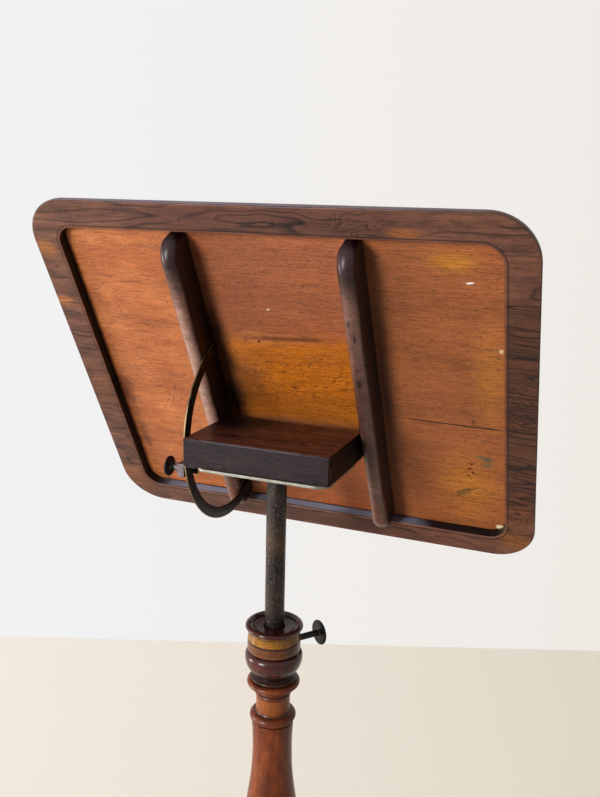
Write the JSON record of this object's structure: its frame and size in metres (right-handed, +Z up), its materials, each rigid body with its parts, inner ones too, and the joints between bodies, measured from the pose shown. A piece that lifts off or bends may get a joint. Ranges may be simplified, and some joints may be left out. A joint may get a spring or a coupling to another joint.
{
  "type": "adjustable reading stand",
  "caption": "Framed wooden reading board that tilts on a block, on an iron rod that slides and turns in a turned column with a round footed base.",
  "frame": {"origin": "on the floor, on the axis of the column and rod", "axes": "+Z up, +X along the hinge axis of the board, -Y towards the reader's side of the board, +Y to its back"},
  "size_m": [0.5292, 0.41, 1.2327],
  "materials": {
    "rosewood": "old polished rosewood with dark streaks",
    "block_wood": "worn dark rosewood",
    "batten_wood": "worn polished rosewood",
    "panel_wood": "old varnished mahogany",
    "veneer_wood": "polished veneer",
    "column_wood": "satin polished mahogany",
    "collar_wood": "glossy rosewood with a worn golden band",
    "black_iron": "blackened",
    "worn_iron": "worn brown iron",
    "pale_steel": "dull grey steel"
  },
  "bodies": {
    "stand": {"platform": "column_wood", "foot_1": "column_wood", "foot_2": "column_wood", "foot_3": "column_wood", "base_washer": "black_iron", "base_bolt": "black_iron", "column": "column_wood", "collar": "collar_wood", "collar_nut": "black_iron"},
    "column_thumbscrew": {"column_screw": "black_iron"},
    "lift": {"rod": "worn_iron", "swivel_nut": "black_iron"},
    "head": {"pivot_block": "block_wood", "mount_plate": "pale_steel", "plate_screw_1": "worn_iron", "plate_screw_2": "worn_iron", "plate_screw_3": "worn_iron", "plate_screw_4": "worn_iron", "arc_clamp": "pale_steel", "clamp_screw_1": "worn_iron", "clamp_screw_2": "worn_iron"},
    "tilt_thumbscrew": {"tilt_screw": "black_iron"},
    "top": {"panel": "panel_wood", "face_veneer": "veneer_wood", "rail_top": "rosewood", "rail_bottom": "rosewood", "stile_left": "rosewood", "stile_left_upper": "rosewood", "stile_right": "rosewood", "book_ledge": "rosewood", "batten_left": "batten_wood", "batten_right": "batten_wood", "batten_screw_left_1": "worn_iron", "batten_screw_left_2": "worn_iron", "batten_screw_right_1": "worn_iron", "batten_screw_right_2": "worn_iron", "pivot_pin_left": "black_iron", "pivot_pin_right": "black_iron", "pivot_washer_left": "black_iron", "pivot_washer_right": "black_iron", "tilt_arc": "black_iron", "arc_screw_1": "worn_iron", "arc_screw_2": "worn_iron"}
  },
  "joints": [
    {"name": "height_slide", "type": "slide", "parent": "stand", "child": "lift", "axis": [0, 0, 1], "range_m": [-0.185, 0.15]},
    {"name": "head_swivel", "type": "hinge", "parent": "lift", "child": "head", "pos_m": [0, 0, 0.958], "axis": [0, 0, 1], "continuous": true},
    {"name": "board_tilt", "type": "hinge", "parent": "head", "child": "top", "pos_m": [0, -0.0515, 0.98], "axis": [1, 0, 0], "range_deg": [-56, 27]},
    {"name": "column_screw_turn", "type": "hinge", "parent": "stand", "child": "column_thumbscrew", "pos_m": [0, 0, 0.743], "axis": [-0.6198, -0.7848, 0], "range_deg": [-180, 180]},
    {"name": "tilt_screw_turn", "type": "hinge", "parent": "head", "child": "tilt_thumbscrew", "pos_m": [0.0834, 0.0468, 0.9545], "axis": [1, 0, 0], "range_deg": [-180, 180]}
  ]
}
